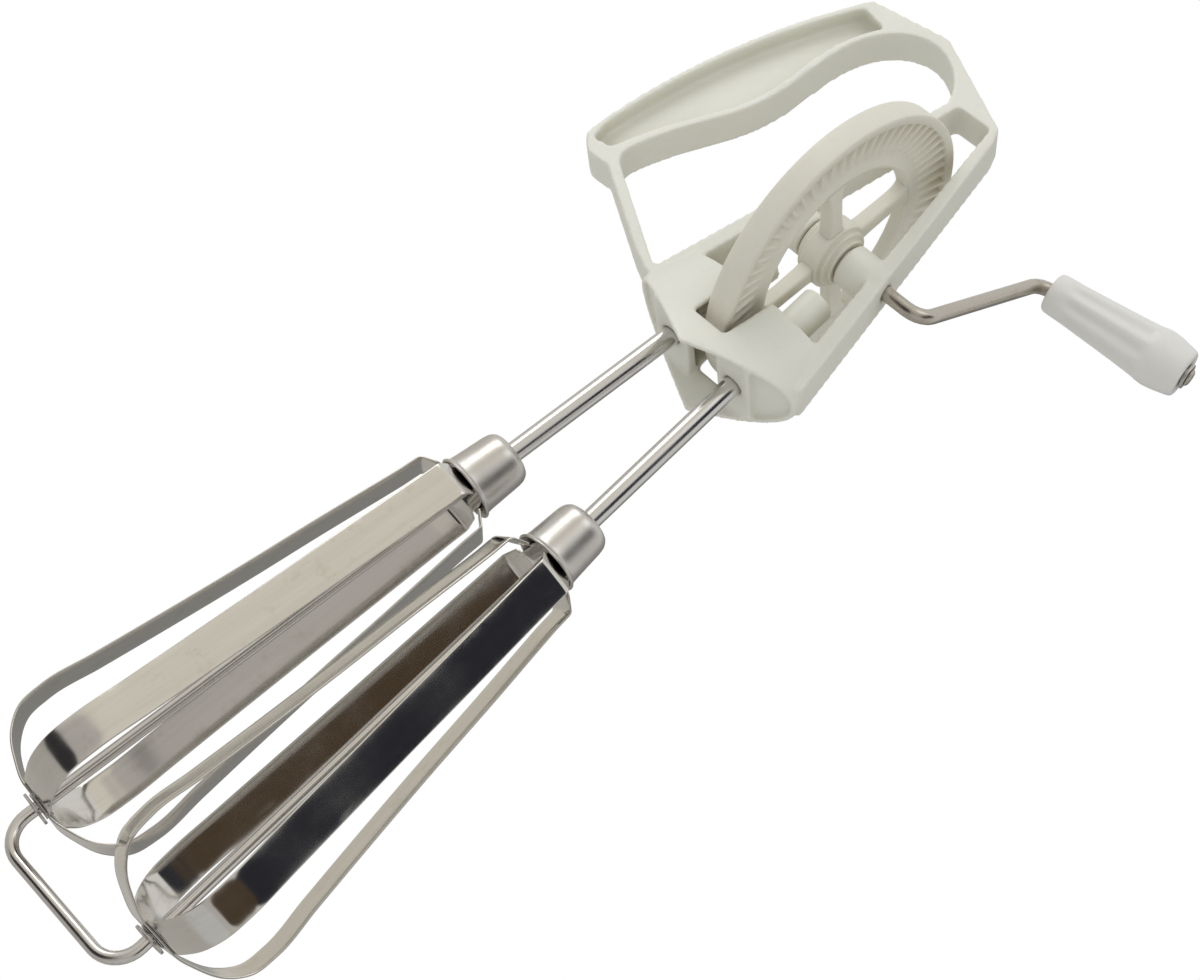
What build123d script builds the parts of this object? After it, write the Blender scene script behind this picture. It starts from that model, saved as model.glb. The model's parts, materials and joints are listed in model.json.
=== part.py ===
from build123d import *
import os
from math import atan, cos, degrees, pi, radians, sin, tan

# Hand-cranked rotary egg beater.  Millimetres, +Z up from the foot wire to the grip, +X to the crank
# side, +Y to the back.  The origin is under the middle of the foot wire.

# ---- driving dimensions ------------------------------------------------------------------------
# beater axes: both lie in the plane Y = 0 and lean towards each other going up
splay = degrees(atan(0.057))
tip_height = 13.2
tip_half_spread = 21.7

# wire frame and foot
wire_diameter = 3.2
foot_bend_radius = 7.5

# moulded frame
plate_half_depth = 5.5
rail_foot_height = 210.2
rail_foot_half_width = 27.0
rail_slope = 0.199
rail_width_low = 4.8
rail_width_high = 3.1
hood_lip_height = 196.6
hood_side_height = 208.6
hood_top_height = 223.2
hood_lip_depth = 16.2
hood_top_depth = 9.7
hood_wall = 1.5
slot_half_width = 5.2
slot_floor_height = 206.5
bridge_bottom = 203.2
bridge_thickness = 3.0
bridge_outer_half_width = 16.5
mouth_floor_inset = 1.6
mouth_floor_thickness = 1.3
shaft_seat_radius = 5.4
shaft_seat_rise = 0.35
pocket_depth = 4.8
hood_roof = 2.4

# drive wheel and spindle
spindle_height = 249.5
spindle_diameter = 4.0
wheel_radius = 42.3
wheel_half_width = 3.45
wheel_teeth = 64
tooth_outer_radius = 39.5
tooth_inner_radius = 31.0
tooth_root_offset = 1.35
tooth_inner_height = 0.45
tooth_root_width = 2.1
tooth_crest_width = 1.0
tooth_set_back = 0.15
web_inner_radius = 26.0
inner_rim_width = 1.8
inner_rim_half_depth = 2.0
spoke_width = 4.4
spoke_depth = 4.6
hub_radius = 8.0
hub_half_length = 5.6
bearing_boss_radius = 6.0
bearing_boss_gap = 0.7
cross_pin_radius = 0.8

# pinions
pinion_teeth = 14
pinion_middle_height = 213.9
pinion_tip_radius = 8.6
pinion_root_radius = 6.55
pinion_face_width = 6.4
pinion_hub_radius = 4.6
pinion_lower_hub = 2.4
pinion_upper_hub = 1.0
pinion_tooth_root_half = 0.95
pinion_tooth_tip_half = 0.38
pinion_tooth_sink = 0.6
post_radius = 4.65
post_top = 235.7
wire_grip = 10.4
hub_washer_radius = 5.0
thrust_washer_radius = 5.0
washer_play = 0.1
vent_radius = 0.5

# beaters, measured along their own axes from the crossing of the strips
tube_diameter = 5.2
tube_bore = 3.36
tube_foot = 127.0
strip_width = 10.2
strip_thickness = 0.55
strip_tab_width = 7.4
strip_tab_shoulder = 122.5
strip_tab_radius = 4.62
strip_tab_foot = 129.0
strip_tab_top = 135.2
strip_flat_radius = 4.6
strip_belly = [(12.2, 114.0), (14.5, 90.0), (16.2, 70.0), (18.2, 50.0), (20.4, 30.0), (21.9, 16.5),
               (20.9, 9.6), (17.0, 4.8), (10.5, 1.5), (strip_flat_radius, 0.0)]
collar_mouth = 123.8
collar_shoulder = 135.6
collar_top = 138.6
collar_wall = 0.6
collar_lip_radius = 8.9
collar_mouth_radius = 8.0
collar_neck_radius = 7.4
collar_flat_radius = 5.2
ferrule_middle = 132.6
ferrule_length = 5.4
stop_washer_radius = 4.3
stop_washer_thickness = 0.75
strip_gap = 0.05
eyelet_radius = 2.3
eyelet_flange_radius = 3.5
eyelet_flange = 0.35
left_strip_turn = 10.0
right_strip_turn = 43.0
running_clearance = 0.08

# crank
crank_corner_x = 31.0
crank_end = Vector(33.7, 27.3, 44.8)
crank_pin_tilt = 9.0
crank_bend_radius = 5.0
rivet_radius = 2.5
rivet_height = 1.0
grip_gap = 3.7
grip_length = 41.3
grip_small_radius = 5.7
grip_large_radius = 8.1
grip_end_radius = 6.6
grip_bore_clearance = 0.15
washer_thickness = 0.8
washer_gap = 0.2
end_washer_radius = 3.6
push_nut_thickness = 1.2
spindle_overhang = 2.6

os.makedirs("parts", exist_ok=True)


def save(shape, name):
    """Write one named piece as its own STEP file."""
    export_step(shape, "parts/" + name + ".step")


def axis_x(height):
    """Distance of a beater axis from the middle plane at a height."""
    return tip_half_spread - tan(radians(splay)) * (height - tip_height)


def along(height):
    """Distance along a beater axis from the strip crossing to a height."""
    return (height - tip_height) / cos(radians(splay))


def rail_edge(height, inset=0.0):
    """Distance from the middle plane to the outer edge of a side rail, or to a line inside it."""
    return rail_foot_half_width - inset - rail_slope * (height - rail_foot_height)


def beater_place(side):
    """Place whose origin is the strip crossing of one beater and whose Z runs up its axis."""
    return Pos(side * tip_half_spread, 0, tip_height) * Rot(0, -side * splay, 0)


def ring(outer, bore, bottom, top):
    """Round sleeve or disc about the local Z axis."""
    body = Pos(0, 0, (bottom + top) / 2) * Cylinder(outer, top - bottom)
    hole = Pos(0, 0, (bottom + top) / 2) * Cylinder(bore, top - bottom + 1)
    return body - hole


def ring_x(outer, bore, start, end):
    """Round sleeve or disc about the spindle axis."""
    return Pos(start, 0, spindle_height) * Rot(0, 90, 0) * ring(outer, bore, 0, end - start)


def plate(edges, half_depth=plate_half_depth):
    """Flat plate in the XZ plane, of equal depth to the front and the back, from its outline."""
    face = make_face(edges)
    return extrude(Plane.XZ * face, half_depth, both=True)


bridge_top = along(bridge_bottom + bridge_thickness) + shaft_seat_rise


# ---- moulded frame: D grip, two side rails, hood over the pinions --------------------------------
def grip_outline():
    """Outer outline of the whole plate: grip, head and side rails."""
    low = rail_foot_height
    head_right = (rail_edge(300.0), 300.0)
    back = ThreePointArc((-70.9, 235.0), (-65.2, 270.0), (-48.5, 312.5))
    heel = Spline((-58.5, 226.6), (-65.5, 226.4), (-70.2, 229.8), (-70.9, 235.0),
                  tangents=[(-1, 0.05), (0.03, 1)])
    head = FilletPolyline((-48.5, 312.5), (-46.8, 314.8), (-22.8, 318.4), (7.0, 304.6), head_right,
                          (rail_edge(low), low), radius=1.2)
    foot = Polyline((rail_edge(low), low), (-rail_edge(low), low), (-34.5, 213.4), (-58.5, 226.6))
    return back + heel + head + foot


def finger_opening():
    """The opening for the fingers, between the palm side of the grip and the left rail."""
    sill = Polyline((-56.5, 229.2), (-48.6, 224.8), (-27.6, 213.2), (-26.3, 213.6), (-8.6, 302.0))
    palm = Spline((-8.6, 302.0), (-12.0, 308.2), (-22.5, 314.2), (-30.8, 312.8), (-38.6, 304.8),
                  (-42.2, 290.0), (-43.0, 275.0), (-46.6, 262.0), (-53.6, 248.0), (-57.8, 237.0),
                  (-58.6, 232.4), (-56.5, 229.2))
    return sill + palm


def wheel_window():
    """The opening between the two rails in which the wheel turns."""
    low = hood_top_height
    high = 303.0
    low_x = rail_edge(low, rail_width_low)
    high_x = rail_edge(high, rail_width_high)
    return FilletPolyline((-low_x, low), (-high_x, high), (high_x, high), (low_x, low), radius=1.5,
                          close=True)


def grip_pocket():
    """Hollow in each face of the grip, one rim width inside its outline."""
    palm = Spline((-62.6, 231.6), (-60.2, 238.6), (-56.4, 247.6), (-49.4, 261.0), (-45.4, 275.0),
                  (-44.6, 290.0), (-41.0, 304.4), (-38.2, 309.4))
    end = Polyline((-38.2, 309.4), (-46.6, 311.0), (-48.0, 309.2))
    back = ThreePointArc((-48.0, 309.2), (-63.5, 269.6), (-69.2, 235.2))
    heel = Polyline((-69.2, 235.2), (-68.0, 230.6), (-62.6, 231.6))
    return palm + end + back + heel


def hood_section(height, half_width, half_depth, squareness):
    """Closed curve |x/a|^n + |y/b|^n = 1 at one height; a large n squares it off."""
    steps = 32
    points = []
    for step in range(steps):
        turn = 2 * pi * step / steps
        across = abs(cos(turn)) ** (2 / squareness) * (1 if cos(turn) >= 0 else -1)
        deep = abs(sin(turn)) ** (2 / squareness) * (1 if sin(turn) >= 0 else -1)
        points.append((half_width * across, half_depth * deep, height))
    return make_face(Spline(*points, periodic=True))


def hood_shape(inset, low, high):
    """Bell that is oval at the lip and tapers towards its roof."""
    sections = []
    for part in (0.0, 0.33, 0.66, 1.0):
        height = low + part * (high - low)
        rise = (height - hood_lip_height) / (hood_top_height - hood_lip_height)
        half_depth = hood_lip_depth + rise * (hood_top_depth - hood_lip_depth) - inset
        squareness = 2.0 + 0.4 * rise
        sections.append(hood_section(height, rail_edge(height, inset), half_depth, squareness))
    return loft(sections)


def body_frame():
    """One moulding: plate, hood, spindle bosses, wire posts and shaft bridges."""
    body = plate(grip_outline())
    body -= plate(finger_opening(), plate_half_depth + 1)
    body -= plate(wheel_window(), plate_half_depth + 1)
    pocket = extrude(Plane.XZ * make_face(grip_pocket()), pocket_depth + 1)
    body -= Pos(0, -plate_half_depth + pocket_depth, 0) * pocket
    body -= Pos(0, plate_half_depth + 1, 0) * pocket

    # the hood, hollow below its roof, with a lip that dips to a point at the front and the back
    body += hood_shape(0.0, hood_lip_height, hood_top_height)
    body -= hood_shape(hood_wall, hood_lip_height - 0.5, hood_top_height - hood_roof)
    side_x = rail_edge(hood_side_height) + 6.0
    dip = (hood_side_height - hood_lip_height) / rail_edge(hood_side_height)
    for side in (-1, 1):
        wedge = Polyline((0, hood_lip_height - 5), (0, hood_lip_height),
                         (side * side_x, hood_lip_height + dip * side_x),
                         (side * side_x, hood_lip_height - 5), close=True)
        body -= extrude(Plane.XZ * make_face(wedge), 30, both=True)

    # bridges that carry the beater shafts, and posts that hold the ends of the wire
    bridge_middle = (slot_half_width + bridge_outer_half_width) / 2
    bridge_length = bridge_outer_half_width - slot_half_width
    for side in (-1, 1):
        bridge = Pos(side * bridge_middle, 0, bridge_bottom + bridge_thickness / 2) \
            * Box(bridge_length, 2 * hood_lip_depth, bridge_thickness)
        body += bridge & hood_shape(0.5 * hood_wall, hood_lip_height - 0.4, hood_top_height)
        post = ring(post_radius, vent_radius, along(hood_top_height - hood_roof), along(post_top))
        seat = ring(shaft_seat_radius, vent_radius, along(bridge_bottom) + 0.6, bridge_top)
        body += beater_place(side) * (post + seat)

    # thin floors that slope with the lip from the bridges out to the side walls, a little inside it
    inner_x = bridge_outer_half_width - 1.0
    inner_z = hood_lip_height + dip * inner_x + mouth_floor_inset
    outer_z = hood_lip_height + dip * side_x + mouth_floor_inset
    for side in (-1, 1):
        floor = Polyline((side * inner_x, inner_z), (side * side_x, outer_z),
                         (side * side_x, outer_z + mouth_floor_thickness),
                         (side * inner_x, inner_z + mouth_floor_thickness), close=True)
        slab = extrude(Plane.XZ * make_face(floor), hood_lip_depth, both=True)
        body += slab & hood_shape(0.5 * hood_wall, hood_lip_height - 0.4, hood_top_height)

    # wheel slot through the front wall, the roof and the back wall
    slot_height = hood_top_height - slot_floor_height + 1
    body -= Pos(0, 0, slot_floor_height + slot_height / 2) \
        * Box(2 * slot_half_width, 60, slot_height)

    # spindle bosses and bores
    boss_start = hub_half_length + bearing_boss_gap
    boss_end = rail_edge(spindle_height, 1.0)
    for side in (-1, 1):
        low, high = sorted((side * boss_start, side * boss_end))
        body += ring_x(bearing_boss_radius, vent_radius, low, high)
    spindle_bore = Cylinder(spindle_diameter / 2 + running_clearance, 60)
    body -= Pos(0, 0, spindle_height) * Rot(0, 90, 0) * spindle_bore
    for side in (-1, 1):
        shaft_bore = Pos(0, 0, along(bridge_bottom)) \
            * Cylinder(tube_diameter / 2 + running_clearance, 20)
        wire_bore = Pos(0, 0, along(hood_top_height) + 0.5) * Cylinder(wire_diameter / 2, 20)
        body -= beater_place(side) * (shaft_bore + wire_bore)
    return body


# ---- wire frame: one bent rod through both beaters -----------------------------------------------
def wire_frame():
    """U-shaped rod whose legs are the fixed axles of the beaters and whose bottom is the foot."""
    wire_centre = wire_diameter / 2
    corner = (axis_x(wire_centre), 0, wire_centre)
    up = Vector(-sin(radians(splay)), 0, cos(radians(splay)))
    top = Vector(tip_half_spread, 0, tip_height) + up * (along(hood_top_height) + wire_grip)
    points = [(-top.X, 0, top.Z), (-corner[0], 0, corner[2]), corner, (top.X, 0, top.Z)]
    path = FilletPolyline(*points, radius=foot_bend_radius)
    section = Plane(origin=path @ 0, z_dir=path % 0) * Circle(wire_diameter / 2)
    return sweep(section, path=path)


# ---- drive wheel: crown gear with teeth on both faces --------------------------------------------
def tooth_wedge(inner_height, outer_height, root_width, crest_width, inner, outer):
    """One radial crown tooth along +Y, its root on z = 0, lower and narrower towards the centre."""
    faces = []
    for radius, height in ((inner, inner_height), (outer, outer_height)):
        scale = radius / outer
        base = root_width * scale / 2
        crest = crest_width * scale / 2
        outline = Polyline((-base, 0, 0), (base, 0, 0), (crest, height, 0), (-crest, height, 0),
                           close=True)
        section = Plane(origin=(0, radius, 0), x_dir=(1, 0, 0), z_dir=(0, 1, 0)) \
            * Rot(0, 0, 180) * make_face(outline)
        faces.append(section)
    return loft(faces, ruled=True)


def drive_wheel():
    """Wheel about its own Z axis: rim, toothed web, four spokes and hub."""
    outer = ring(wheel_radius, tooth_outer_radius, -wheel_half_width, wheel_half_width)
    web = ring(tooth_outer_radius + 0.2, web_inner_radius, -tooth_root_offset, tooth_root_offset)
    inner_rim = ring(web_inner_radius + inner_rim_width, web_inner_radius, -inner_rim_half_depth,
                     inner_rim_half_depth)
    hub = Cylinder(hub_radius, 2 * hub_half_length)
    wheel = outer + web + inner_rim + hub
    span = 2 * (web_inner_radius + 0.5)
    for turn in (0, 90):
        wheel += Rot(0, 0, turn) * Box(span, spoke_width, spoke_depth)
    crest = wheel_half_width - tooth_set_back - tooth_root_offset
    tooth = tooth_wedge(tooth_inner_height, crest, tooth_root_width, tooth_crest_width,
                        tooth_inner_radius, tooth_outer_radius + 0.1)
    step = 360 / wheel_teeth
    teeth = []
    for index in range(wheel_teeth):
        turned = Rot(0, 0, (index + 0.5) * step)
        teeth.append(turned * Pos(0, 0, tooth_root_offset) * tooth)
        teeth.append(turned * Rot(0, 180, 0) * Pos(0, 0, tooth_root_offset) * tooth)
    wheel = wheel + teeth
    wheel -= Cylinder(spindle_diameter / 2, 3 * hub_half_length)
    wheel -= Rot(0, 90, 0) * Cylinder(cross_pin_radius, 2 * hub_radius + 1)
    return wheel


# ---- pinions --------------------------------------------------------------------------------------
def pinion():
    """Spur pinion about its own Z axis, its middle at z = 0, one tooth on the +X side."""
    half = pinion_face_width / 2
    blank = Cylinder(pinion_root_radius, pinion_face_width)
    sunk = pinion_root_radius - pinion_tooth_sink
    tooth_outline = Polyline((sunk, -pinion_tooth_root_half), (pinion_tip_radius, -pinion_tooth_tip_half),
                             (pinion_tip_radius, pinion_tooth_tip_half), (sunk, pinion_tooth_root_half),
                             close=True)
    tooth = Pos(0, 0, -half) * extrude(make_face(tooth_outline), pinion_face_width)
    body = blank
    for index in range(pinion_teeth):
        body += Rot(0, 0, index * 360 / pinion_teeth) * tooth
    lower_hub = Pos(0, 0, -half - pinion_lower_hub / 2) * Cylinder(pinion_hub_radius, pinion_lower_hub)
    upper_hub = Pos(0, 0, half + pinion_upper_hub / 2) * Cylinder(pinion_hub_radius, pinion_upper_hub)
    body += lower_hub + upper_hub
    body -= Cylinder(tube_diameter / 2, 3 * pinion_face_width)
    return body


# ---- beater pieces ---------------------------------------------------------------------------------
def strip_loop(lift):
    """One flat strip bent to a loop: out of the collar, down, across the axis and up again."""
    neck = FilletPolyline((strip_tab_radius, strip_tab_top), (strip_tab_radius, strip_tab_foot),
                          (6.7, 123.0), (11.9, 119.8), strip_belly[0], radius=1.4)
    belly = Spline(*strip_belly, tangents=[(0.09, -1), (-1, 0)])
    half = neck + belly
    base = Line((strip_flat_radius, 0), (-strip_flat_radius, 0))
    path = half + base + mirror(half, Plane.YZ)
    strip = extrude(Plane.XZ * trace(path, strip_thickness), strip_width / 2, both=True)
    shoulder_middle = (strip_width + strip_tab_width) / 2
    for side in (-1, 1):
        strip -= Pos(0, side * shoulder_middle, strip_tab_shoulder + 10) * Box(40, strip_width, 20)
    return Pos(0, 0, lift) * (strip - Cylinder(eyelet_radius, 20))


def collar():
    """Pressed cup that gathers the strips: a thin lip at the mouth, nearly straight sides, a flat top."""
    low = collar_mouth
    lip = collar_lip_radius
    neck_radius = collar_neck_radius
    outer = [(lip, low), (lip, low + 0.7), (collar_mouth_radius, low + 1.3), (neck_radius, collar_shoulder)]
    crown = Spline((neck_radius, collar_shoulder), (neck_radius - 0.6, collar_top - 0.8),
                   (collar_flat_radius, collar_top), tangents=[(-0.05, 1), (-1, 0.05)])
    inner_low = (neck_radius - collar_wall, collar_shoulder - 0.2)
    inner_top = (collar_flat_radius - 0.4, collar_top - collar_wall)
    inner = [(lip, low), (lip - 0.8, low), inner_low]
    inner_crown = Spline(inner_low, (neck_radius - 2 * collar_wall, collar_top - 1.3), inner_top,
                         tangents=[(-0.05, 1), (-1, 0.05)])
    neck = Polyline((collar_flat_radius, collar_top), (tube_diameter / 2, collar_top),
                    (tube_diameter / 2, collar_top - collar_wall), inner_top)
    outline = Polyline(*outer) + crown + neck + inner_crown + Polyline(*inner)
    return revolve(Plane.XZ * make_face(outline), Axis.Z)


def ferrule():
    """Square block swaged on the tube inside the collar; the strip ends lie on its flats."""
    flat = strip_tab_radius - strip_thickness / 2 - 0.02
    block = Pos(0, 0, ferrule_middle) * Box(2 * flat, 2 * flat, ferrule_length)
    return block - Cylinder(tube_diameter / 2, 400)


def eyelet():
    """Flanged sleeve that rivets the two crossed strips and turns on the wire."""
    bore = wire_diameter / 2 + running_clearance
    low = -strip_thickness / 2 - 0.03
    high = 1.5 * strip_thickness + 0.1
    sleeve = ring(eyelet_radius, bore, low - eyelet_flange, high + eyelet_flange)
    low_flange = ring(eyelet_flange_radius, bore, low - eyelet_flange, low)
    top_flange = ring(eyelet_flange_radius, bore, high, high + eyelet_flange)
    return sleeve + low_flange + top_flange


# ---- crank -----------------------------------------------------------------------------------------
crank_centre = Vector(0, 0, spindle_height)
arm_direction = Vector(0, crank_end.Y, crank_end.Z).normalized()
pin_along_spindle = Vector(1, 0, 0) * cos(radians(crank_pin_tilt))
pin_direction = pin_along_spindle + arm_direction * sin(radians(crank_pin_tilt))
pin_origin = crank_centre + crank_end
pin_plane = Plane(origin=pin_origin, z_dir=pin_direction)
pin_length = grip_gap + grip_length + washer_gap + washer_thickness + 0.1
spindle_left_end = -rail_edge(spindle_height) - spindle_overhang


def crank_rod():
    """One bent rod: spindle through the wheel, arm, and the pin that the crank grip turns on."""
    start = crank_centre + Vector(spindle_left_end, 0, 0)
    corner = crank_centre + Vector(crank_corner_x, 0, 0)
    end = pin_origin + pin_direction * pin_length
    path = FilletPolyline(start, corner, pin_origin, end, radius=crank_bend_radius)
    section = Plane(origin=start, z_dir=(1, 0, 0)) * Circle(spindle_diameter / 2)
    rod = sweep(section, path=path)
    on_end = (Align.CENTER, Align.CENTER, Align.MIN)
    head = Pos(0, 0, pin_length) * Cylinder(rivet_radius, rivet_height, align=on_end)
    rod += pin_plane * fillet(head.edges().sort_by(Axis.Z)[-1], 0.7)
    return rod - Pos(0, 0, spindle_height) * Cylinder(cross_pin_radius, 2 * hub_radius)


def crank_grip():
    """Turned grip, slim at the arm, widest near its outer end and tapered to a flat end face."""
    bore = spindle_diameter / 2 + grip_bore_clearance
    foot = grip_small_radius - 0.7
    side = Spline((foot, 0), (grip_small_radius, 0.8), (6.4, 12.0), (7.3, 24.0), (grip_large_radius, 33.0),
                  (7.7, 36.0), (grip_end_radius + 0.3, 40.2))
    end = Polyline((grip_end_radius + 0.3, 40.2), (grip_end_radius - 0.4, grip_length),
                   (bore, grip_length), (bore, 0), (foot, 0))
    body = revolve(Plane.XZ * make_face(side + end), Axis.Z)
    return pin_plane * Pos(0, 0, grip_gap) * body


# ---- write the pieces ------------------------------------------------------------------------------
to_spindle = Pos(0, 0, spindle_height) * Rot(0, 90, 0)
save(body_frame(), "body_frame")
save(wire_frame(), "wire_frame")
save(to_spindle * drive_wheel(), "drive_wheel")
save(crank_rod(), "crank_rod")
save(crank_grip(), "crank_grip")
washer_low = grip_gap + grip_length + washer_gap
grip_washer = pin_plane * ring(end_washer_radius, spindle_diameter / 2, washer_low,
                               washer_low + washer_thickness)
save(grip_washer, "crank_grip_washer")
save(Pos(0, 0, spindle_height) * Cylinder(cross_pin_radius, 2 * hub_radius - 0.6), "hub_cross_pin")
cap_start = spindle_left_end + 0.5
spindle_cap = ring_x(end_washer_radius, spindle_diameter / 2, cap_start, cap_start + push_nut_thickness)
save(spindle_cap, "spindle_push_nut")
washer_start = hub_half_length + washer_play
washer_end = hub_half_length + bearing_boss_gap - washer_play
save(ring_x(hub_washer_radius, spindle_diameter / 2, washer_start, washer_end), "right_hub_washer")
save(ring_x(hub_washer_radius, spindle_diameter / 2, -washer_end, -washer_start), "left_hub_washer")

pinion_centre = along(pinion_middle_height)
pinion_low_end = pinion_centre - pinion_face_width / 2 - pinion_lower_hub
tube_top = pinion_centre + pinion_face_width / 2 + pinion_upper_hub
stop_washer_top = -strip_thickness / 2 - 0.03 - eyelet_flange - 0.3
for side, name, strip_turn in ((-1, "left", left_strip_turn), (1, "right", right_strip_turn)):
    place = beater_place(side)
    turned = place * Rot(0, 0, strip_turn)
    gear_turn = 180 if side > 0 else 0
    save(place * Pos(0, 0, pinion_centre) * Rot(0, 0, gear_turn) * pinion(), name + "_pinion")
    save(place * ring(tube_diameter / 2, tube_bore / 2, tube_foot, tube_top), name + "_shaft_tube")
    save(turned * collar(), name + "_collar")
    save(turned * ferrule(), name + "_ferrule")
    save(turned * strip_loop(0.0), name + "_strip_outer")
    save(turned * Rot(0, 0, 90) * strip_loop(strip_thickness + strip_gap), name + "_strip_inner")
    save(turned * eyelet(), name + "_eyelet")
    stop_washer_low = stop_washer_top - stop_washer_thickness
    stop_washer = ring(stop_washer_radius, wire_diameter / 2, stop_washer_low, stop_washer_top)
    save(place * stop_washer, name + "_stop_washer")
    thrust_washer = ring(thrust_washer_radius, tube_diameter / 2 + running_clearance,
                         bridge_top + washer_play, pinion_low_end - washer_play)
    save(place * thrust_washer, name + "_thrust_washer")
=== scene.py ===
import json
import math
import bpy
import numpy as np
from mathutils import Matrix, Quaternion, Vector


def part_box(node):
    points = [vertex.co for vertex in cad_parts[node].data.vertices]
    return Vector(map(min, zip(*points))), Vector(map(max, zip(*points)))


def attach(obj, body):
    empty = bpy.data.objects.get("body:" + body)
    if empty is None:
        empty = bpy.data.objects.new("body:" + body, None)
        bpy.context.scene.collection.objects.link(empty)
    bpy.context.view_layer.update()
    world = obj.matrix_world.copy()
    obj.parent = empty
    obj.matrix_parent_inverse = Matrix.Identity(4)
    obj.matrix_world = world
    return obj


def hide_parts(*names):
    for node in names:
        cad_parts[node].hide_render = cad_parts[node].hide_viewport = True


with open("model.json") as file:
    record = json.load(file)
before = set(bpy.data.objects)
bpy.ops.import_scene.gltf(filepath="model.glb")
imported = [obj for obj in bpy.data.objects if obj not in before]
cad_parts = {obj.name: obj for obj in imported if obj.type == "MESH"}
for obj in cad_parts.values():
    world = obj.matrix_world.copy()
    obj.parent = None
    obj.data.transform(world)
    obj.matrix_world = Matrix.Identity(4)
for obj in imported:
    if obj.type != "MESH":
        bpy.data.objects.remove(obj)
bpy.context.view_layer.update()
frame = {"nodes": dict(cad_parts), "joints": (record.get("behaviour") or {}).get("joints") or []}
MM = 0.001

# ---- Moulded frame -------------------------------------------------------------------------------
# One injection moulding in off-white ABS: the D grip with a pocket in each face, two side rails, the
# hood over the pinions and the strut between them.  Its edges are softly rounded, as the tool leaves
# them, and its colour is painted darker and yellower in the corners and recesses as painted shade.


def add(tree, kind, sockets=None, **settings):
    """One shader node: settings are its own options, sockets its inputs, each a value or a link."""
    made = tree.nodes.new("ShaderNode" + kind)
    for key, value in settings.items():
        setattr(made, key, value)
    for key, value in (sockets or {}).items():
        if isinstance(value, bpy.types.NodeSocket):
            tree.links.new(value, made.inputs[key])
        else:
            made.inputs[key].default_value = value
    return made


def blank_material(name):
    """An empty node material with its output, and the tree that its nodes go into."""
    material = bpy.data.materials.new(name)
    material.use_nodes = True
    material.node_tree.nodes.clear()
    return material, material.node_tree


def mix(tree, amount, low, high):
    """The colour between low and high, by an amount from 0 to 1."""
    blend = add(tree, "Mix", data_type="RGBA")
    for socket, value in ((0, amount), (6, low), (7, high)):
        if isinstance(value, bpy.types.NodeSocket):
            tree.links.new(value, blend.inputs[socket])
        else:
            blend.inputs[socket].default_value = value
    return blend.outputs[2]


def spread(tree, value, low, high, new_low, new_high):
    """A value carried from the range low..high to new_low..new_high, held at both ends."""
    ranged = add(tree, "MapRange", {"Value": value, 1: low, 2: high, 3: new_low, 4: new_high})
    return ranged.outputs[0]


def moulded_plastic(name, body, corner, rough):
    """Injection-moulded plastic: slow drift of tone, painted shade darkening and yellowing the corners and
    recesses, scuffs, fine orange peel.
    """
    material, tree = blank_material(name)
    place = add(tree, "TexCoord").outputs["Object"]
    drift = add(tree, "TexNoise", {"Vector": place, "Scale": 45.0, "Detail": 3.0}).outputs["Fac"]
    mottle = add(tree, "TexNoise", {"Vector": place, "Scale": 420.0, "Detail": 4.0}).outputs["Fac"]
    peel = add(tree, "TexNoise", {"Vector": place, "Scale": 1500.0, "Detail": 2.0}).outputs["Fac"]
    stretched = add(tree, "Mapping", {"Vector": place, "Scale": (1.0, 1.0, 0.12)}).outputs[0]
    scuff = add(tree, "TexNoise", {"Vector": stretched, "Scale": 900.0, "Detail": 6.0,
                                   "Roughness": 0.7}).outputs["Fac"]
    painted_shade_openness = add(tree, "AmbientOcclusion", {"Distance": 0.007}, samples=8).outputs["AO"]
    pale = [min(1.0, channel * 1.035) for channel in body[:3]] + [1.0]
    shade = mix(tree, spread(tree, drift, 0.35, 0.65, 0.0, 1.0), body, pale)
    shade = mix(tree, spread(tree, mottle, 0.56, 0.82, 0.0, 0.12), shade, corner)
    # Painted shade: ambient occlusion from nearby surfaces pulls the colour toward the darker, yellower
    # corner colour in corners and recesses.
    shade = mix(tree, spread(tree, painted_shade_openness, 0.35, 0.95, 0.62, 0.0), shade, corner)
    gloss = spread(tree, scuff, 0.35, 0.75, rough, rough + 0.16)
    height = add(tree, "Math", {0: peel, 1: scuff}, operation="ADD").outputs[0]
    bump = add(tree, "Bump", {"Strength": 0.22, "Distance": 0.00012, "Height": height}).outputs[0]
    skin = add(tree, "BsdfPrincipled", {"Base Color": shade, "Roughness": gloss, "Normal": bump,
                                        "Subsurface Weight": 0.22, "Subsurface Scale": 0.0016,
                                        "Subsurface Radius": (1.0, 0.85, 0.6), "IOR": 1.5})
    tree.links.new(skin.outputs[0], add(tree, "OutputMaterial").inputs[0])
    return material


def mount_piece(piece, material, body, node):
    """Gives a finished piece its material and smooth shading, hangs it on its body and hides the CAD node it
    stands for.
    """
    piece.data.materials.clear()
    piece.data.materials.append(material)
    piece.data.polygons.foreach_set("use_smooth", np.ones(len(piece.data.polygons), bool))
    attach(piece, body)
    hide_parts(node)
    return piece


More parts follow.
